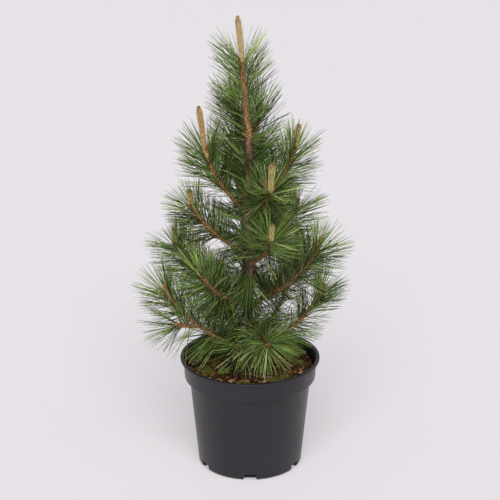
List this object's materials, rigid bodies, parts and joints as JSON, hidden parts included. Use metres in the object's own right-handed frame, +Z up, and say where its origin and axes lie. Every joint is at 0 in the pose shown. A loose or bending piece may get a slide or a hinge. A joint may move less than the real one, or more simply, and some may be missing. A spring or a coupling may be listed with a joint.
{
  "type": "potted bosnian pine tree",
  "caption": "Young upright conifer with whorls of rising boughs, long stiff needles and pale candles, in a round tapered nursery pot filled with soil.",
  "frame": {"origin": "centre of the pot's flat underside", "axes": "+Z up along the trunk, -Y towards the viewer of the picture, +X to the viewer's right"},
  "size_m": [0.3066, 0.2725, 0.635],
  "materials": {
    "pot": "satin charcoal grey plastic",
    "soil": "moist crumbly potting mix with bark chips and moss",
    "bark": "orange brown scaly young bark, greyer at the foot",
    "needles": "dark green waxy needles with pale lines, tan candles"
  },
  "bodies": {
    "root": {"pot": "pot", "soil": "soil", "trunk": "bark", "bough_low_left": "bark", "bough_low_front_left": "bark", "bough_low_right": "bark", "bough_low_back_right": "bark", "bough_low_back_left": "bark", "bough_second_left": "bark", "bough_second_front_left": "bark", "bough_second_front": "bark", "bough_second_right": "bark", "bough_second_back_right": "bark", "bough_second_back": "bark", "bough_middle_left": "bark", "bough_middle_front": "bark", "bough_middle_right": "bark", "bough_middle_back_right": "bark", "bough_middle_back_left": "bark", "bough_upper_left": "bark", "bough_upper_front": "bark", "bough_upper_right": "bark", "bough_upper_back_right": "bark", "bough_upper_back_left": "bark", "bough_top_back_right": "bark", "bough_top_back_left": "bark", "foliage_low_left": "needles", "foliage_low_front_left": "needles", "foliage_low_right": "needles", "foliage_low_back_right": "needles", "foliage_low_back_left": "needles", "foliage_second_left": "needles", "foliage_second_front_left": "needles", "foliage_second_front": "needles", "foliage_second_right": "needles", "foliage_second_back_right": "needles", "foliage_second_back": "needles", "foliage_middle_left": "needles", "foliage_middle_front": "needles", "foliage_middle_right": "needles", "foliage_middle_back_right": "needles", "foliage_middle_back_left": "needles", "foliage_upper_left": "needles", "foliage_upper_front": "needles", "foliage_upper_right": "needles", "foliage_upper_back_right": "needles", "foliage_upper_back_left": "needles", "foliage_top_back_right": "needles", "foliage_top_back_left": "needles", "foliage_leader": "needles"}
  },
  "joints": []
}
